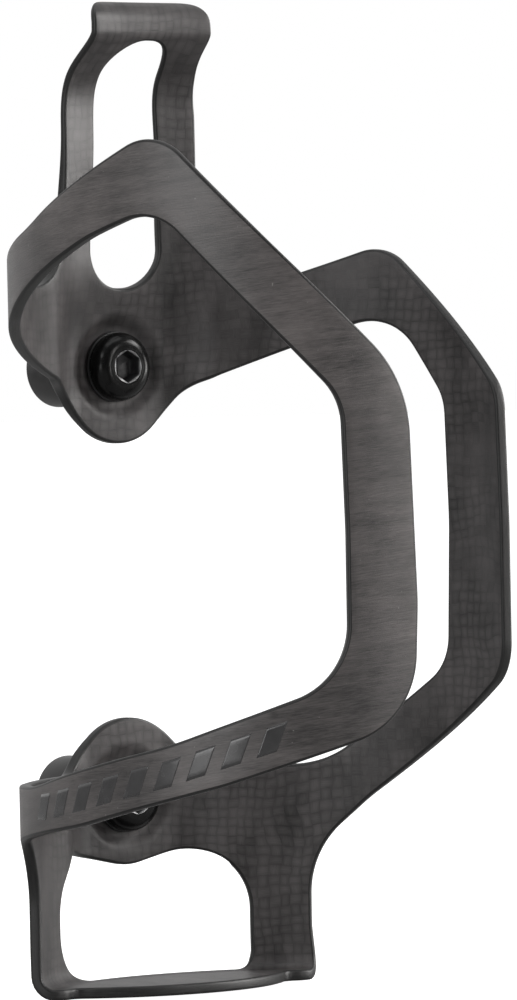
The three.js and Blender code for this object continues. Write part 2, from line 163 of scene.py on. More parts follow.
standoff_front_y = SEAT_Y + SHEET + FIT_GAP
washer_rear_y = SEAT_Y + DIMPLE_DEPTH - FIT_GAP
washer_front_y = washer_rear_y - WASHER_THICKNESS
head_rear_y = washer_front_y - FIT_GAP

# ---- The sheet's surface ------------------------------------------------------------------------


def smoothstep(start, end, value):
    """0 up to the start, 1 from the end, and a smooth rise between."""
    share = np.clip((value - start) / (end - start), 0, 1)
    return share * share * (3 - 2 * share)


def trough_share(angle, height):
    """How much of the bolt trough's depth is present, 0 to 1."""
    across = 1 - smoothstep(TROUGH_FLAT_ANGLE, TROUGH_EDGE_ANGLE, np.abs(angle))
    up = 1
    for start, end, share in TROUGH_FADES:
        up = up - share * smoothstep(start, end, height)
    return across * up * smoothstep(*TROUGH_FOOT, height)


def inner_face(flat):
    """The sheet's inner face at flat points in millimetres, from the bottle's axis."""
    angle, height = flat[:, 0] / MM_PER_DEGREE, flat[:, 1]
    turn = np.radians(angle)
    seat = SEAT_Y / np.cos(np.clip(turn, -1, 1))
    radius = CAGE_RADIUS + (seat - CAGE_RADIUS) * trough_share(angle, height)
    bend = np.clip((BEND_START - height) / BEND_RADIUS, 0, math.pi / 2)
    radius -= BEND_RADIUS * (1 - np.cos(bend)) + np.maximum(BEND_END - height, 0)
    z = np.where(height < BEND_START, BEND_START - BEND_RADIUS * np.sin(bend), height)
    x, y = radius * np.sin(turn), radius * np.cos(turn)
    nose = NOSE_Y - NOSE_CROWN * x**2
    rise = np.clip((height - LEAN_START) / (LEAN_END - LEAN_START), 0, 1)
    y += (nose - y) * smoothstep(0, 1, rise**LEAN_EASE)
    curl = np.clip((height - CURL_START) / CURL_RADIUS, 0, math.pi / 2)
    y += CURL_RADIUS * (1 - np.cos(curl))
    z = np.where(height > CURL_START, CURL_START + CURL_RADIUS * np.sin(curl), z)
    return np.stack([x, y, z], axis=1)


def unit(vectors):
    return vectors / np.linalg.norm(vectors, axis=-1, keepdims=True)


def outward(flat):
    """Unit normals of the sheet, pointing away from the bottle."""
    step = 0.02
    across, up = np.array([step, 0]), np.array([0, step])
    along = inner_face(flat + across) - inner_face(flat - across)
    rise = inner_face(flat + up) - inner_face(flat - up)
    return unit(np.cross(rise, along))


def thickness(height):
    """The sheet's thickness: less at the hook, and a little less at the shelf."""
    hook = smoothstep(*HOOK_THINNING, height)
    shelf = 1 - smoothstep(*SHELF_THINNING, height)
    return SHEET + (HOOK_SHEET - SHEET) * hook + (SHELF_SHEET - SHEET) * shelf


def seat_spot(across, height):
    """The flat point on the bolt seat at a distance across from the bolts' line."""
    return math.degrees(math.atan2(across, SEAT_Y)) * MM_PER_DEGREE, height


def dimple(flat):
    """Depth of the round dimple that each bolt head sits in."""
    across = SEAT_Y * np.tan(np.clip(np.radians(flat[:, 0] / MM_PER_DEGREE), -1, 1))
    depth = np.zeros(len(flat))
    for height in BOLT_HEIGHTS.values():
        reach = np.hypot(across, flat[:, 1] - height)
        depth += 1 - smoothstep(DIMPLE_FLOOR_RADIUS, DIMPLE_EDGE_RADIUS, reach)
    return DIMPLE_DEPTH * depth


def sheet_points(flat, depth):
    """Points at a depth into the sheet, 0 on the inner face and the thickness on the outer one."""
    full = thickness(flat[:, 1])
    start = dimple(flat)
    through = start + depth * (full - start) / full
    return inner_face(flat) + outward(flat) * through[:, None]


# ---- The flat pattern ---------------------------------------------------------------------------


def arc_points(centre, start, sweep, radius):
    """Points along an arc that starts at an angle and sweeps on through another, in radians."""
    steps = max(2, math.ceil(abs(sweep) * radius / ARC_STEP))
    turns = start + sweep * np.arange(steps + 1) / steps
    return centre + radius * np.stack([np.cos(turns), np.sin(turns)], axis=1)


def rounded_outline(corners):
    """A closed run of flat points, each corner rounded to its radius."""
    spots = np.array([(angle * MM_PER_DEGREE, height) for angle, height, _ in corners])
    runs = []
    for i, (_, _, radius) in enumerate(corners):
        spot = spots[i]
        before = unit(spots[i - 1] - spot)
        after = unit(spots[(i + 1) % len(spots)] - spot)
        if radius == 0:
            runs.append(spot[None])
            continue
        half = math.acos(np.clip(before @ after, -1, 1)) / 2
        centre = spot + unit(before + after) * radius / math.sin(half)
        start, end = [spot + way * radius / math.tan(half) - centre for way in (before, after)]
        begin = math.atan2(start[1], start[0])
        sweep = math.remainder(math.atan2(end[1], end[0]) - begin, math.tau)
        runs.append(arc_points(centre, begin, sweep, radius))
    return np.concatenate(runs)


def spaced(outline, spacing):
    """The same closed outline in even steps."""
    closed = np.vstack([outline, outline[:1]])
    length = np.concatenate([[0], np.cumsum(np.linalg.norm(np.diff(closed, axis=0), axis=1))])
    stops = np.linspace(0, length[-1], round(length[-1] / spacing) + 1)[:-1]
    return np.stack([np.interp(stops, length, closed[:, i]) for i in (0, 1)], axis=1)


def signed_area(outline):
    """Positive for an anticlockwise outline."""
    x, y = outline.T
    return 0.5 * np.sum(x * np.roll(y, -1) - np.roll(x, -1) * y)


def shelf_front(angle):
    """Height of the shelf's front edge in the flat pattern: an arc in plan."""
    turn = math.radians(angle)
    reach = SHELF_ARC_CENTRE_Y * math.sin(turn)
    front = SHELF_ARC_CENTRE_Y * math.cos(turn) - math.sqrt(SHELF_ARC_RADIUS**2 - reach**2)
    return BEND_END - (CAGE_RADIUS - BEND_RADIUS - front)


def bolt_hole(height):
    """A bolt's round hole on the flat seat, as an outline of the flat pattern."""
    turns = np.linspace(0, math.tau, HOLE_POINTS + 1)[:-1]
    spots = [(BOLT_HOLE_RADIUS * math.cos(t), BOLT_HOLE_RADIUS * math.sin(t)) for t in turns]
    return np.array([seat_spot(across, height + rise) for across, rise in spots])


def pattern_outlines():
    """The outer outline anticlockwise and the holes clockwise, so that material is on the left."""
    last = SHELF_ARC_ANGLE - FOOT_ANGLE
    front = [(angle, shelf_front(angle), 0) for angle in np.linspace(-last, last, SHELF_POINTS)]
    feet = [(side * SHELF_ARC_ANGLE, shelf_front(SHELF_ARC_ANGLE), FOOT_RADIUS) for side in (-1, 1)]
    corners = [*OUTER_LEFT, feet[0], *front, feet[1], *OUTER_RIGHT]
    outer = spaced(rounded_outline(corners), OUTLINE_STEP)
    holes = [spaced(rounded_outline(hole), OUTLINE_STEP) for hole in (OPENING, HOOK_SLOT, WINDOW)]
    holes += [bolt_hole(height) for height in BOLT_HEIGHTS.values()]
    outer = outer if signed_area(outer) > 0 else outer[::-1]
    holes = [hole if signed_area(hole) < 0 else hole[::-1] for hole in holes]
    return [outer, *holes]


def into_material(outline):
    """Unit vectors at each outline point, square to it and towards the material."""
    along = unit(np.roll(outline, -1, axis=0) - np.roll(outline, 1, axis=0))
    return np.stack([-along[:, 1], along[:, 0]], axis=1)


def inside(points, outline):
    """Which points lie inside a closed outline, by counting crossings."""
    result = np.zeros(len(points), dtype=bool)
    for (x0, y0), (x1, y1) in zip(outline, np.roll(outline, -1, axis=0)):
        if y0 == y1:
            continue
        crosses = (y0 > points[:, 1]) != (y1 > points[:, 1])
        at = x0 + (points[:, 1] - y0) * (x1 - x0) / (y1 - y0)
        result ^= crosses & (points[:, 0] < at)
    return result


def on_material(points, outlines):
    """Which points lie inside the outer outline and in no hole."""
    result = inside(points, outlines[0])
    for hole in outlines[1:]:
        result &= ~inside(points, hole)
    return result


def clear_of(points, outlines, gap):
    """Which points are at least a gap away from every outline point."""
    near = np.zeros(len(points), dtype=bool)
    for spot in np.concatenate(outlines):
        box = np.flatnonzero(np.abs(points[:, 1] - spot[1]) < gap)
        near[box] |= np.hypot(*(points[box] - spot).T) < gap
    return ~near


def filling_points(outlines):
    """Points that fill the pattern: a grid, finer where the sheet bends, and rings at the bolts."""
    rows = np.concatenate([np.arange(*run) for run in FILL_ROWS])
    grid = np.stack(np.meshgrid(np.arange(*FILL_COLUMNS), rows), axis=-1).reshape(-1, 2)
    first, last = BOLT_HOLE_RADIUS + 0.7, DIMPLE_EDGE_RADIUS + RING_MARGIN
    seat_stretch = 1.05  # the seat is a little wider than the pattern shows it
    rings = []
    for height in BOLT_HEIGHTS.values():
        reach = np.hypot(grid[:, 0] * seat_stretch, grid[:, 1] - height)
        grid = grid[reach > last + RING_GAP]
        for radius in np.arange(first, last, RING_STEP):
            turns = np.linspace(0, math.tau, round(radius * 10) + 1)[:-1]
            rings += [seat_spot(radius * math.cos(t), height + radius * math.sin(t)) for t in turns]
    points = np.vstack([grid, rings])
    points = points[on_material(points, outlines)]
    return points[clear_of(points, outlines, FILL_STEP)]


# ---- Meshes -------------------------------------------------------------------------------------


def to_row(points):
    """Millimetres from the bottle's axis to metres in the row's frame."""
    return (points - np.array([0, STANDOFF_REAR_Y, 0])) / 1000


def turn_faces_outward(mesh):
    work = bmesh.new()
    work.from_mesh(mesh)
    bmesh.ops.recalc_face_normals(work, faces=work.faces)
    work.to_mesh(mesh)
    work.free()
    mesh.update()


def make_mesh(name, points, faces, materials, face_materials=None):
    """A smooth-shaded object from points in millimetres."""
    mesh = bpy.data.meshes.new(name)
    mesh.from_pydata(to_row(np.asarray(points)).tolist(), [], [list(map(int, f)) for f in faces])
    for material in materials:
        mesh.materials.append(material)
    if face_materials is not None:
        mesh.polygons.foreach_set("material_index", np.asarray(face_materials, dtype=np.int32))
    mesh.polygons.foreach_set("use_smooth", np.ones(len(mesh.polygons), dtype=bool))
    mesh.validate()
    turn_faces_outward(mesh)
    thing = bpy.data.objects.new(name, mesh)
    bpy.context.scene.collection.objects.link(thing)
    return thing


def store_flat(thing, flat):
    """Keeps each point's (across, height, depth) in millimetres for the materials."""
    layer = thing.data.attributes.new("flat", "FLOAT_VECTOR", "POINT")
    layer.data.foreach_set("vector", np.asarray(flat, dtype=np.float32).ravel())


def edge_profile(outline, ways, full):
    """Rings round one edge from the inner face to the outer one: (flat points, depths)."""
    inner, outer = [], []
    for turn in np.linspace(0, math.pi / 2, EDGE_RINGS):
        inset, depth = EDGE_RADIUS * (1 - math.sin(turn)), EDGE_RADIUS * (1 - math.cos(turn))
        inner.append((outline + ways * inset, np.full(len(outline), depth)))
        outer.append((outline + ways * inset, full - depth))
    return inner + outer[::-1]


def reached_triangles(tris, walls, edge_count):
    """The triangles that join up with the filling points without crossing an outline."""
    owners = {}
    for i, (a, b, c) in enumerate(tris.tolist()):
        for side in ((a, b), (b, c), (c, a)):
            owners.setdefault(frozenset(side), []).append(i)
    for wall in walls:
        owners[frozenset(wall)] = []
    start = int(np.flatnonzero((tris >= edge_count).all(axis=1))[0])
    reached, waiting = {start}, [start]
    while waiting:
        a, b, c = tris[waiting.pop()].tolist()
        for side in ((a, b), (b, c), (c, a)):
            fresh = set(owners[frozenset(side)]) - reached
            reached |= fresh
            waiting += fresh
    return tris[sorted(reached)]


INNER_FACE, OUTER_FACE, CUT_EDGE = range(3)  # the shell's material slots


def build_shell(materials):
    """One closed body: two wrapped faces joined by rounded edges."""
    outlines = pattern_outlines()
    edges = [edge_profile(o, into_material(o), thickness(o[:, 1])) for o in outlines]
    insets = [rings[0][0] for rings in edges]
    flat_face = np.vstack([*insets, filling_points(outlines)])
    loops, count = [], 0
    for inset in insets:
        ids = np.arange(count, count + len(inset))
        loops += list(zip(ids.tolist(), np.roll(ids, -1).tolist()))
        count += len(inset)
    verts, _, tris, origins, _, _ = delaunay_2d_cdt(
        [Vector(p) for p in flat_face], loops, [], 0, 1e-6
    )
    assert len(verts) == len(flat_face), "the outlines cross"
    tris = reached_triangles(np.array(tris), loops, count)

    zero = np.zeros(len(flat_face))
    flats, depths = [flat_face, flat_face], [zero, thickness(flat_face[:, 1])]
    faces, kinds = tris[:, ::-1].tolist(), [INNER_FACE] * len(tris)
    second = len(flat_face)
    faces += (tris + second).tolist()
    kinds += [OUTER_FACE] * len(tris)
    total, start = 2 * second, 0
    for rings in edges:
        size = len(rings[0][0])
        ids = [np.arange(start, start + size)]
        for flat, depth in rings[1:-1]:
            flats.append(flat)
            depths.append(depth)
            ids.append(np.arange(total, total + size))
            total += size
        ids.append(np.arange(start + second, start + second + size))
        for here, there in zip(ids, ids[1:]):
            quads = np.stack([here, np.roll(here, -1), np.roll(there, -1), there], axis=1)
            faces += quads.tolist()
            kinds += [CUT_EDGE] * size
        start += size
    flat, depth = np.vstack(flats), np.concatenate(depths)
    shell = make_mesh("cage_shell", sheet_points(flat, depth), faces, materials, kinds)
    store_flat(shell, np.column_stack([flat, depth]))
    return shell


def band_patch(name, corners, lift, material):
    """A thin closed patch on the outer face, between flat corners given anticlockwise."""
    across, up = MARK_COLUMNS, MARK_ROWS
    a, b, c, d = [np.array([angle * MM_PER_DEGREE, height]) for angle, height in corners]
    grid = []
    for j in range(up + 1):
        left, right = a + (d - a) * j / up, b + (c - b) * j / up
        grid += [left + (right - left) * i / across for i in range(across + 1)]
    grid = np.array(grid)
    count = len(grid)
    full = thickness(grid[:, 1])
    row = across + 1
    column_ids, row_ids = np.arange(count) % row, np.arange(count) // row
    rim = np.isin(column_ids, (0, across)) | np.isin(row_ids, (0, up))
    top = full + np.where(rim, MARK_RIM_SHARE * lift, lift)
    points = np.vstack([sheet_points(grid, top), sheet_points(grid, full - MARK_ROOT)])
    faces = []
    for j in range(up):
        for i in range(across):
            k = j * row + i
            faces += [(k, k + 1, k + 1 + row, k + row)]
            faces += [(k + count, k + row + count, k + 1 + row + count, k + 1 + count)]
    border = [*range(across), *range(across, count - 1, row), *range(count - 1, count - row, -1)]
    border += [*range(count - row, 0, -row)]
    for here, there in zip(border, [*border[1:], border[0]]):
        faces += [(there, here, here + count, there + count)]
    return make_mesh(name, points, faces, [material])


def ring_points(radii, y, height, count):
    """A ring round a bolt's line. radii is one radius, or one for each point."""
    turns = np.linspace(0, math.tau, count + 1)[:-1]
    radii = np.broadcast_to(radii, count)
    ring = [radii * np.cos(turns), np.full(count, y), height + radii * np.sin(turns)]
    return np.stack(ring, axis=1)


def lathe(name, rings, materials, kinds=None, closed=False):
    """Joins rings of equal size. A first or last ring of one point closes an end."""
    starts = np.cumsum([0, *[len(ring) for ring in rings]])
    pairs = list(zip(range(len(rings)), range(1, len(rings))))
    if closed:
        pairs.append((len(rings) - 1, 0))
    faces, face_kinds = [], []
    for here, there in pairs:
        a, b = starts[here], starts[there]
        na, nb = len(rings[here]), len(rings[there])
        count = max(na, nb)
        for i in range(count):
            j = (i + 1) % count
            if na == 1:
                face = (a, b + j, b + i)
            elif nb == 1:
                face = (a + i, a + j, b)
            else:
                face = (a + i, a + j, b + j, b + i)
            faces.append(face)
            face_kinds.append(kinds[here] if kinds else 0)
    return make_mesh(name, np.vstack(rings), faces, materials, face_kinds)


def hexagon_radii(flats, count):
    """Distance from the centre to a hexagon's side at evenly spread angles."""
    turns = np.linspace(0, math.tau, count + 1)[:-1]
    from_middle = (turns + math.pi / 6) % (math.pi / 3) - math.pi / 6
    return flats / 2 / np.cos(from_middle)


BOLT_BODY, BOLT_CHAMFER, BOLT_SOCKET = range(3)  # a bolt's material slots


def socket_rings(top):
    """From the socket's floor to the flat land round it: (radii, y, material)."""
    hexagon = hexagon_radii(SOCKET_FLATS, ROUND_POINTS)
    mouth = np.maximum(hexagon * 1.08, CHAMFER_RADIUS * 0.93)
    return [
        (hexagon * 0.92, top + SOCKET_DEPTH, BOLT_SOCKET),
        (hexagon, top + SOCKET_DEPTH - 0.12, BOLT_SOCKET),
        (hexagon, top + 0.5, BOLT_SOCKET),
        (hexagon * 1.005, top + 0.3, BOLT_SOCKET),
        # This chamfer ring takes the paler material, a painted highlight.
        (hexagon * 1.06, top + 0.05, BOLT_CHAMFER),
        (mouth, top, BOLT_BODY),
        (LAND_RADIUS - 0.12, top, BOLT_BODY),
        (LAND_RADIUS, top + 0.03, BOLT_BODY),
    ]


def head_rings(top):
    """The domed head from the land to the shank."""
    rings = []
    for share in np.linspace(0.08, 1, DOME_RINGS):
        turn = share * math.pi / 2
        radius = LAND_RADIUS + (HEAD_RADIUS - LAND_RADIUS) * math.sin(turn)
        y = top + (HEAD_HEIGHT - HEAD_RIM) * (1 - math.cos(turn))
        rings.append((radius, y, BOLT_BODY))
    rings.append((HEAD_RADIUS, head_rear_y - HEAD_BEVEL, BOLT_BODY))
    rings.append((HEAD_RADIUS - HEAD_BEVEL, head_rear_y, BOLT_BODY))
    return rings


def shank_rings():
    """The threaded shank: a groove that winds round, fades in at the head and meets a tapered tip."""
    fillet = 0.1
    rings = [(SHANK_RADIUS + fillet, head_rear_y, BOLT_BODY)]
    rings.append((SHANK_RADIUS, head_rear_y + fillet, BOLT_BODY))
    turns = np.arange(ROUND_POINTS) / ROUND_POINTS
    start, end = head_rear_y + PLAIN_SHANK, head_rear_y + SHANK_LENGTH
    for y in np.arange(start, end - 0.01, 0.1):
        phase = ((y - start) / THREAD_PITCH - turns) % 1
        groove = np.clip(1.25 * (1 - np.abs(2 * phase - 1)) - 0.12, 0, 1)
        grow = min(1, (y - start) / THREAD_RUN_IN)
        taper = max(0.0, y - (end - TIP_LENGTH)) * TIP_TAPER
        radii = SHANK_RADIUS - (SHANK_RADIUS - THREAD_ROOT) * groove * grow
        rings.append((np.minimum(radii, SHANK_RADIUS - taper), y, BOLT_BODY))
    rings.append((SHANK_RADIUS - 0.6, end, BOLT_BODY))
    return rings


def bolt_rings(height):
    """Rings from the socket's floor to the shank's end, and the material from each one on."""
    top = head_rear_y - HEAD_HEIGHT
    parts = [*socket_rings(top), *head_rings(top), *shank_rings()]
    floor = np.array([[0, top + SOCKET_DEPTH + SOCKET_POINT, height]])
    tip = np.array([[0, head_rear_y + SHANK_LENGTH, height]])
    rings = [ring_points(radii, y, height, ROUND_POINTS) for radii, y, _ in parts]
    return [floor, *rings, tip], [BOLT_SOCKET, *[kind for _, _, kind in parts], BOLT_BODY]


def turned_rings(profile, height):
    return [ring_points(radius, y, height, ROUND_POINTS) for radius, y in profile]


def washer_profile():
    """(radius, y) round a washer's section."""
    inner, outer, front, rear = WASHER_INNER, WASHER_OUTER, washer_front_y, washer_rear_y
    bevel = WASHER_BEVEL
    return [
        (inner + bevel, front), (outer - bevel, front), (outer - 0.03, front + 0.03),
        (outer, front + bevel), (outer, rear - bevel), (outer - bevel, rear),
        (inner + bevel, rear), (inner, rear - bevel), (inner, front + bevel),
    ]


def standoff_profile():
    """(radius, y) round a standoff's section."""
    front, rear, radius = standoff_front_y, STANDOFF_REAR_Y, STANDOFF_RADIUS
    bore, round_edge, lead = STANDOFF_BORE, STANDOFF_CHAMFER, 0.25
    profile = [(bore + lead, front), (radius - STANDOFF_BEVEL, front)]
    profile.append((radius, front + STANDOFF_BEVEL))
    for turn in np.linspace(0, math.pi / 2, 6):
        out, back = round_edge * math.cos(turn), round_edge * math.sin(turn)
        profile.append((radius - round_edge + out, rear - round_edge + back))
    profile += [(bore + STANDOFF_CHAMFER, rear), (bore, rear - STANDOFF_CHAMFER)]
    profile += [(bore, y) for y in np.linspace(rear - 1, front + 0.6, 12)]
    profile.append((bore, front + lead))
    return profile


# ---- Materials ----------------------------------------------------------------------------------

TOW_WIDTH = 1.55  # mm
TOW_DRIFT = 2.4  # mm that the tows wander off their straight line


class Graph:
    """Short calls for a material's nodes. A value is a socket, a number or a colour."""

    def __init__(self, name):
        self.material = bpy.data.materials.new(name)
        self.material.use_nodes = True
        self.nodes = self.material.node_tree.nodes
        self.shader = self.nodes["Principled BSDF"]

    def feed(self, socket, value):
        if isinstance(value, bpy.types.NodeSocket):
            self.material.node_tree.links.new(value, socket)
        else:
            socket.default_value = value

    def set(self, **values):
        for name, value in values.items():
            self.feed(self.shader.inputs[name.replace("_", " ")], value)

    def math(self, operation, *values):
        node = self.nodes.new("ShaderNodeMath")
        node.operation = operation
        for socket, value in zip(node.inputs, values):
            self.feed(socket, value)
        return node.outputs[0]

    def add(self, a, b):
        return self.math("ADD", a, b)

    def times(self, a, b):
        return self.math("MULTIPLY", a, b)

    def between(self, share, a, b):
        """a where share is 0 and b where it is 1."""
        node = self.nodes.new("ShaderNodeMix")
        for i, value in enumerate((share, None, a, b)):
            if value is not None:
                self.feed(node.inputs[i], value)
        return node.outputs[0]

    def colours(self, share, a, b):
        node = self.nodes.new("ShaderNodeMix")
        node.data_type = "RGBA"
        self.feed(node.inputs[0], share)
        self.feed(node.inputs[6], (*a, 1) if isinstance(a, tuple) else a)
        self.feed(node.inputs[7], (*b, 1) if isinstance(b, tuple) else b)
        return node.outputs[2]

    def vector(self, x, y, z=0.0):
        node = self.nodes.new("ShaderNodeCombineXYZ")
        for socket, value in zip(node.inputs, (x, y, z)):
            self.feed(socket, value)
        return node.outputs[0]

    def noise(self, vector, scale=1.0, detail=2.0, roughness=0.5):
        node = self.nodes.new("ShaderNodeTexNoise")
        self.feed(node.inputs["Vector"], vector)
        self.feed(node.inputs["Scale"], scale)
        self.feed(node.inputs["Detail"], detail)
        self.feed(node.inputs["Roughness"], roughness)
        return node.outputs[0]

    def random(self, vector):
        node = self.nodes.new("ShaderNodeTexWhiteNoise")
        self.feed(node.inputs["Vector"], vector)
        return node.outputs["Value"]

    def spread(self, value, low, high, to_low=0.0, to_high=1.0):
        """Maps low to high onto to_low to to_high, and holds the ends."""
        node = self.nodes.new("ShaderNodeMapRange")
        for socket, each in zip(node.inputs, (value, low, high, to_low, to_high)):
            self.feed(socket, each)
        return node.outputs[0]

    def flat(self):
        """Across, height and depth on the flat pattern, in millimetres."""
        node = self.nodes.new("ShaderNodeAttribute")
        node.attribute_name = "flat"
        parts = self.nodes.new("ShaderNodeSeparateXYZ")
        self.feed(parts.inputs[0], node.outputs["Vector"])
        return parts.outputs

    def place(self):
        """The point in the row's frame, in millimetres."""
        node = self.nodes.new("ShaderNodeTexCoord")
        scaled = self.nodes.new("ShaderNodeVectorMath")
        scaled.operation = "SCALE"
        self.feed(scaled.inputs[0], node.outputs["Object"])
        scaled.inputs["Scale"].default_value = 1000
        return scaled.outputs[0]

    def bump(self, height, distance_mm, strength):
        node = self.nodes.new("ShaderNodeBump")
        self.feed(node.inputs["Height"], height)
        node.inputs["Distance"].default_value = distance_mm / 1000
        node.inputs["Strength"].default_value = strength
        return node.outputs[0]


def weave_material():
    """Plain weave of flat carbon tows under a thin satin resin, clear in some areas, faint in others."""
    dark, pale = (0.007, 0.0064, 0.0064), (0.062, 0.057, 0.057)
    g = Graph("woven_carbon")
    across, height, _ = g.flat()
    drape = g.noise(g.vector(across, height), 0.07, 2)
    sag = g.noise(g.vector(height, across, 9.0), 0.07, 2)
    u = g.math("DIVIDE", g.add(across, g.spread(drape, 0, 1, -TOW_DRIFT, TOW_DRIFT)), TOW_WIDTH)
    v = g.math("DIVIDE", g.add(height, g.spread(sag, 0, 1, -TOW_DRIFT, TOW_DRIFT)), TOW_WIDTH)
    cell_u, cell_v = g.math("FLOOR", u), g.math("FLOOR", v)
    weft = g.math("FLOORED_MODULO", g.add(cell_u, cell_v), 2.0)
    share_u, share_v = g.math("FRACT", u), g.math("FRACT", v)
    side = g.math("SINE", g.times(g.between(weft, share_u, share_v), math.pi))
    length = g.math("SINE", g.times(g.between(weft, share_v, share_u), math.pi))
    crown = g.times(g.math("POWER", side, 0.8), g.add(0.5, g.times(length, 0.5)))
    warp_streak = g.noise(g.vector(g.times(across, 7.0), g.times(height, 0.7)), 1, 2)
    weft_streak = g.noise(g.vector(g.times(across, 0.7), g.times(height, 7.0)), 1, 2)
    streak = g.add(g.between(weft, warp_streak, weft_streak), -0.5)
    cell = g.add(g.random(g.vector(cell_u, cell_v)), -0.5)
    clear = g.spread(g.noise(g.vector(across, height, 4.0), 0.11, 2), 0.38, 0.62)
    cloud = g.add(g.noise(g.vector(g.times(across, 2.0), height, 2.0), 0.1, 3), -0.5)
    relief = g.times(g.add(crown, -0.5), g.add(0.05, g.times(clear, 0.38)))
    shade = g.add(g.times(cell, 0.18), g.times(streak, 0.5))
    light = g.add(g.add(relief, g.times(clear, 0.1)), g.add(shade, g.times(cloud, 1.15)))
    g.set(
        Base_Color=g.colours(g.spread(light, -0.38, 0.5), dark, pale),
        Roughness=g.spread(streak, -0.4, 0.4, 0.4, 0.54),
        Normal=g.bump(g.add(g.times(crown, clear), g.times(streak, 0.5)), 0.025, 0.45),
        IOR=1.42,
    )
    return g.material


def brushed_material():
    """The outer face: straight fibres round the bottle under a satin resin, finely streaked."""
    dark, pale, dust = (0.013, 0.012, 0.012), (0.1, 0.09, 0.088), (0.13, 0.125, 0.12)
    g = Graph("unidirectional_carbon")
    across, height, _ = g.flat()
    lean = g.add(height, g.times(across, 0.12))
    fine = g.noise(g.vector(g.times(across, 0.5), g.times(lean, 5.0)), 1, 4, 0.7)
    broad = g.noise(g.vector(g.times(across, 0.08), g.times(lean, 0.8), 3.0), 1, 2)
    cloud = g.noise(g.vector(across, height, 7.0), 0.09, 3)
    speck = g.spread(g.noise(g.vector(across, height, 1.0), 1.7, 1), 0.77, 0.82)
    tone = g.add(g.times(fine, 0.5), g.add(g.times(broad, 0.25), g.times(cloud, 0.45)))
    base = g.colours(g.spread(tone, 0.42, 0.78), dark, pale)
    g.set(
        Base_Color=g.colours(speck, base, dust),
        Roughness=g.spread(fine, 0.3, 0.7, 0.34, 0.48),
        Normal=g.bump(fine, 0.045, 0.7),
        IOR=1.5,
    )
    return g.material


def edge_material():
    """Cut edges: the plies show as faint lines along the sheet."""
    dark, pale, chip = (0.003, 0.003, 0.003), (0.014, 0.0135, 0.0135), (0.06, 0.059, 0.058)
    g = Graph("cut_edge")
    across, height, depth = g.flat()
    along = g.vector(g.times(across, 0.25), g.times(height, 0.25), g.times(depth, 7.0))
    plies = g.noise(along, 1, 2)
    grit = g.noise(g.vector(across, height, depth), 3.5, 3, 0.7)
    tone = g.add(g.times(plies, 0.6), g.times(grit, 0.4))
    fleck = g.spread(grit, 0.7, 0.78)
    base = g.colours(g.spread(tone, 0.35, 0.65), dark, pale)
    g.set(
        Base_Color=g.colours(fleck, base, chip),
        Roughness=g.spread(tone, 0.3, 0.7, 0.38, 0.52),
        IOR=1.4,
    )
    return g.material


def gloss_material():
    """The glossy bars printed on the near band."""
    g = Graph("gloss_print")
    ripple = g.noise(g.place(), 0.35, 2)
    g.set(
        Base_Color=g.colours(ripple, (0.012, 0.012, 0.0125), (0.034, 0.033, 0.034)),
        Roughness=g.spread(ripple, 0.3, 0.7, 0.18, 0.3),
        Normal=g.bump(ripple, 0.05, 0.3),
        Coat_Weight=0.3,
        Coat_Roughness=0.15,
    )
    return g.material


def metal_material(name, dark, light, roughness, metallic, grain=1.0, ior=1.5):
    """A blackened or bare metal, or a paler, more metallic copy that stands in for a painted highlight,
    with a fine grain and a few paler rubbed spots.
    """
    g = Graph(name)
    fine = g.noise(g.place(), 6.0 * grain, 3, 0.6)
    broad = g.noise(g.place(), 0.9 * grain, 2)
    tone = g.add(g.times(fine, 0.5), g.times(broad, 0.5))
    g.set(
        Base_Color=g.colours(g.spread(tone, 0.35, 0.65), dark, light),
        Roughness=g.spread(tone, 0.3, 0.7, roughness, roughness + 0.12),
        Metallic=metallic,
        IOR=ior,
        Normal=g.bump(fine, 0.01, 0.4),
    )
    return g.material


# ---- The pieces ---------------------------------------------------------------------------------

cage_nodes = frame["record"]["behaviour"]["bodies"]["cage"]
SHELL_NODES = [name for name in cage_nodes if not name.endswith("standoff")]

shell = build_shell([weave_material(), brushed_material(), edge_material()])
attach(shell, "cage")
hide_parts(*SHELL_NODES)

black = metal_material(
    "black_oxide", (0.001, 0.001, 0.001), (0.003, 0.003, 0.0031), roughness=0.18, metallic=0.0, ior=1.28
)
# The socket's chamfer gets a paler, more metallic copy of the bolt's black finish: a painted highlight
# round the socket's mouth.
painted_highlight_chamfer = metal_material(
    "chamfer_painted_highlight", (0.08, 0.08, 0.081), (0.26, 0.26, 0.265), roughness=0.32, metallic=0.85
)
socket = metal_material(
    "socket_wall", (0.008, 0.008, 0.0085), (0.03, 0.03, 0.032), roughness=0.35, metallic=0.3
)
plate = metal_material(
    "washer_plate", (0.004, 0.004, 0.004), (0.012, 0.012, 0.0125), roughness=0.4, metallic=0.1
)
boss = metal_material(
    "satin_boss", (0.008, 0.008, 0.008), (0.024, 0.023, 0.023), roughness=0.38, metallic=0.2, grain=0.6
)

for end, bolt_height in BOLT_HEIGHTS.items():
    rings, kinds = bolt_rings(bolt_height)
    bolt = lathe(f"{end}_bolt_detail", rings, [black, painted_highlight_chamfer, socket], kinds)
    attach(bolt, f"{end}_bolt")
    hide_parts(f"{end}_bolt")

    washer_rings = turned_rings(washer_profile(), bolt_height)
    washer = lathe(f"{end}_washer_detail", washer_rings, [plate], closed=True)
    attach(washer, f"{end}_washer")
    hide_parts(f"{end}_washer")

    standoff_rings = turned_rings(standoff_profile(), bolt_height)
    standoff = lathe(f"{end}_standoff_detail", standoff_rings, [boss], closed=True)
    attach(standoff, "cage")
    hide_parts(f"{end}_standoff")


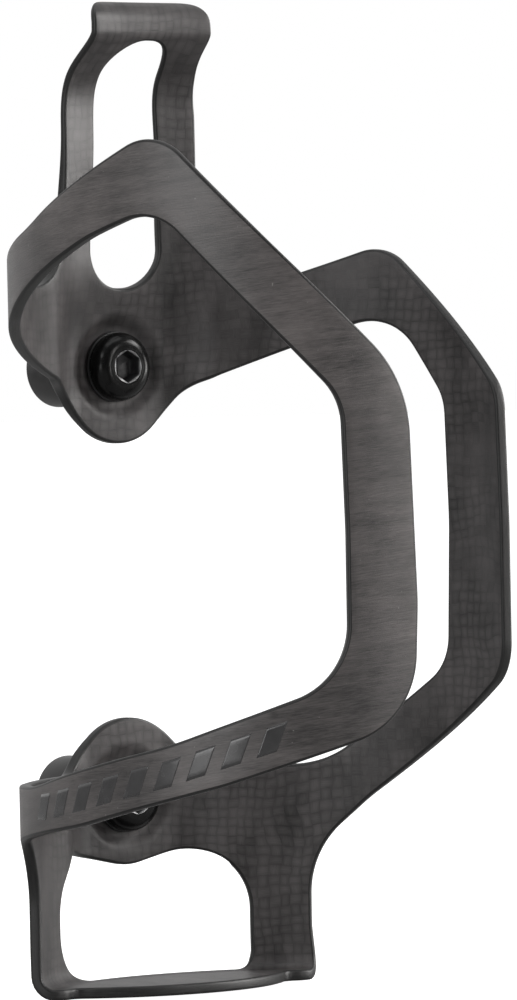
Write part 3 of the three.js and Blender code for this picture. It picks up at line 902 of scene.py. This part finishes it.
def mark_corners(start):
    """One slanted bar of the plain print on the near band."""
    foot = [start + MARK_SLANT, start + MARK_WIDTH + MARK_SLANT]
    head = [start + MARK_WIDTH, start]
    angles, middles = zip(*MARK_PATH)
    ends = [(angle, -0.5) for angle in foot] + [(angle, 0.5) for angle in head]
    return [(angle, np.interp(angle, angles, middles) + end * MARK_HEIGHT) for angle, end in ends]


gloss = gloss_material()
for i in range(MARK_COUNT):
    corners = mark_corners(MARK_START + i * MARK_PITCH)
    mark = band_patch(f"band_print_{i + 1}", corners, MARK_LIFT, gloss)
    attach(mark, "cage")

# ---- Camera, floor and light --------------------------------------------------------------------

CAMERA_AZIMUTH, CAMERA_ELEVATION, CAMERA_ROLL = -37.035, 1.491, -1.311  # degrees
CAMERA_TARGET, CAMERA_DISTANCE = Vector((0, -0.055, 0.032)), 1.01596  # metres
AIM_RIGHT, AIM_UP = -0.00337, 0.0119  # where it aims, off the target, as slopes
CAMERA_LENS, SENSOR_WIDTH = 253.57, 36  # millimetres

FLOOR_DROP, FLOOR_REACH = 0.3, 30000  # millimetres
FRONT_LEVEL, BACK_LEVEL = 0.1, 0.95  # the surroundings' brightness

LIGHT_AIM = (0, -0.05, 0.045)
WARM, WHITE = (1, 0.985, 0.97), (1, 1, 1)
LIGHTS = {  # place and (width, height) in metres, power in watts, colour
    "key_right": ((0.86, -0.46, 0.3), (0.45, 0.9), 16, WARM),
    "front_strip": ((0.27, -1.0, 0.15), (0.14, 0.9), 4, WARM),
    "fill_left": ((-0.85, -0.35, 0.35), (0.5, 0.8), 5, WHITE),
    "top": ((0, -0.1, 0.9), (0.7, 0.7), 3, WHITE),
}


def add_camera():
    """The camera stands in front, 37 degrees to the left, a little above the middle."""
    azimuth, elevation = math.radians(CAMERA_AZIMUTH), math.radians(CAMERA_ELEVATION)
    back = Vector((
        math.sin(azimuth) * math.cos(elevation),
        -math.cos(azimuth) * math.cos(elevation),
        math.sin(elevation),
    ))
    spot = CAMERA_TARGET + back * CAMERA_DISTANCE
    level_right = Vector((math.cos(azimuth), math.sin(azimuth), 0))
    level_up = back.cross(level_right)
    roll = math.radians(CAMERA_ROLL)
    right = level_right * math.cos(roll) + level_up * math.sin(roll)
    up = back.cross(right)
    aim = -back + right * AIM_RIGHT + up * AIM_UP
    back = -aim.normalized()
    right = up.cross(back).normalized()
    up = back.cross(right)
    camera = bpy.data.cameras.new("camera")
    camera.lens = CAMERA_LENS
    camera.sensor_width = SENSOR_WIDTH
    camera.clip_start, camera.clip_end = 0.05, 50
    thing = bpy.data.objects.new("camera", camera)
    thing.matrix_world = Matrix.Translation(spot) @ Matrix((right, up, back)).transposed().to_4x4()
    bpy.context.scene.collection.objects.link(thing)
    bpy.context.scene.camera = thing


def add_floor():
    """A pale floor. It looks white to the camera, and lights the undersides only a little."""
    g = Graph("pale_floor")
    speckle = g.noise(g.place(), 0.02, 2)
    g.set(
        Base_Color=g.colours(speckle, (0.32, 0.32, 0.32), (0.36, 0.36, 0.36)),
        Roughness=0.9,
        Emission_Color=(1, 1, 1, 1),
    )
    path = g.nodes.new("ShaderNodeLightPath")
    g.feed(g.shader.inputs["Emission Strength"], path.outputs["Is Camera Ray"])
    low = min(corner[2] for corner in cad_box) * 1000 - FLOOR_DROP
    ways = [(-1, -1), (1, -1), (1, 1), (-1, 1)]
    corners = [(x * FLOOR_REACH, y * FLOOR_REACH, low) for x, y in ways]
    floor = make_mesh("floor", corners, [(0, 1, 2, 3)], [g.material])


def add_area(name, spot, size, power, colour):
    light = bpy.data.lights.new(name, "AREA")
    light.shape = "RECTANGLE"
    light.size, light.size_y = size
    light.energy = power
    light.color = colour
    thing = bpy.data.objects.new(name, light)
    thing.location = spot
    thing.rotation_euler = (Vector(LIGHT_AIM) - Vector(spot)).to_track_quat("-Z", "Y").to_euler()
    bpy.context.scene.collection.objects.link(thing)


def add_world():
    """White to the camera. To the object it is grey, dimmer in front than behind."""
    world = bpy.data.worlds.new("studio")
    world.use_nodes = True
    bpy.context.scene.world = world
    nodes, links = world.node_tree.nodes, world.node_tree.links
    background = nodes["Background"]
    path = nodes.new("ShaderNodeLightPath")
    level = nodes.new("ShaderNodeMapRange")
    links.new(path.outputs["Is Camera Ray"], level.inputs["Value"])
    direction = nodes.new("ShaderNodeTexCoord")
    parts = nodes.new("ShaderNodeSeparateXYZ")
    behind = nodes.new("ShaderNodeMapRange")
    links.new(direction.outputs["Generated"], parts.inputs[0])
    links.new(parts.outputs["Y"], behind.inputs["Value"])
    ends = {"From Min": -1, "From Max": 1, "To Min": FRONT_LEVEL, "To Max": BACK_LEVEL}
    for name, value in ends.items():
        behind.inputs[name].default_value = value
    links.new(behind.outputs[0], level.inputs["To Min"])
    level.inputs["To Max"].default_value = 1.0
    background.inputs["Color"].default_value = (1, 1, 1, 1)
    links.new(level.outputs[0], background.inputs["Strength"])


add_camera()
add_floor()
add_world()
for name, settings in LIGHTS.items():
    add_area(name, *settings)

bpy.context.scene.view_settings.view_transform = "Standard"
